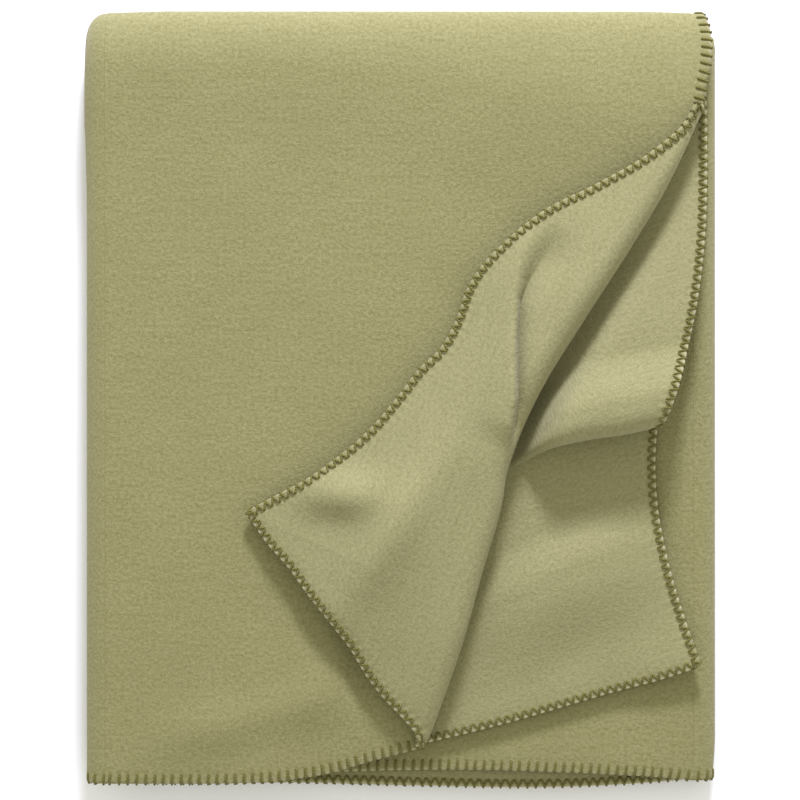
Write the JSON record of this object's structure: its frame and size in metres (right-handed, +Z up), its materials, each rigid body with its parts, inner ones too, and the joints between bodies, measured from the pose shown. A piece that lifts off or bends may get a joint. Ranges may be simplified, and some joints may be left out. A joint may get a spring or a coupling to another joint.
{
  "type": "folded camp blanket",
  "caption": "Thick felted throw folded in half and then in thirds, with contrast yarn stitching round every edge and one corner of the top layer turned back.",
  "frame": {"origin": "middle of the underside, on the ground", "axes": "+Y runs from the open hems to the half fold, +X to the right-hand fold, +Z up"},
  "size_m": [0.5112, 0.636, 0.0749],
  "materials": {
    "cloth": "brushed felted fleece",
    "yarn": "soft twisted yarn"
  },
  "bodies": {
    "bottom_third": {"bottom_lower_panel": "cloth", "bottom_upper_panel": "cloth", "bottom_top_fold": "cloth", "bottom_lower_hem_stitches": "yarn", "bottom_upper_hem_stitches": "yarn", "bottom_lower_side_stitches": "yarn", "bottom_upper_side_stitches": "yarn", "right_outer_bend": "cloth", "right_inner_bend": "cloth"},
    "middle_third": {"middle_lower_panel": "cloth", "middle_upper_panel": "cloth", "middle_top_fold": "cloth", "middle_lower_hem_stitches": "yarn", "middle_upper_hem_stitches": "yarn", "left_outer_bend": "cloth", "left_inner_bend": "cloth"},
    "front_third": {"second_panel": "cloth", "second_pleat": "cloth", "second_hem_stitches": "yarn", "second_lower_side_stitches": "yarn", "second_upper_side_stitches": "yarn", "front_panel": "cloth", "front_top_fold": "cloth", "front_hem_stitches": "yarn", "front_side_stitches": "yarn", "corner_roll": "cloth"},
    "turned_corner": {"turned_corner": "cloth", "corner_side_stitches": "yarn", "corner_hem_stitches": "yarn"}
  },
  "joints": [
    {"name": "right_fold", "type": "hinge", "parent": "bottom_third", "child": "middle_third", "pos_m": [0.24143, 0, 0.01425], "axis": [0, 1, 0], "range_deg": [0, 100], "deforming": ["right_outer_bend", "right_inner_bend"]},
    {"name": "left_fold", "type": "hinge", "parent": "middle_third", "child": "front_third", "pos_m": [-0.24143, 0, 0.03025], "axis": [0, -1, 0], "range_deg": [0, 160], "deforming": ["left_outer_bend", "left_inner_bend"]},
    {"name": "corner_fold", "type": "hinge", "parent": "front_third", "child": "turned_corner", "pos_m": [0.091, -0.033, 0.057], "axis": [0.3969, 0.9179, 0], "range_deg": [0, 115], "deforming": ["corner_roll"]}
  ]
}
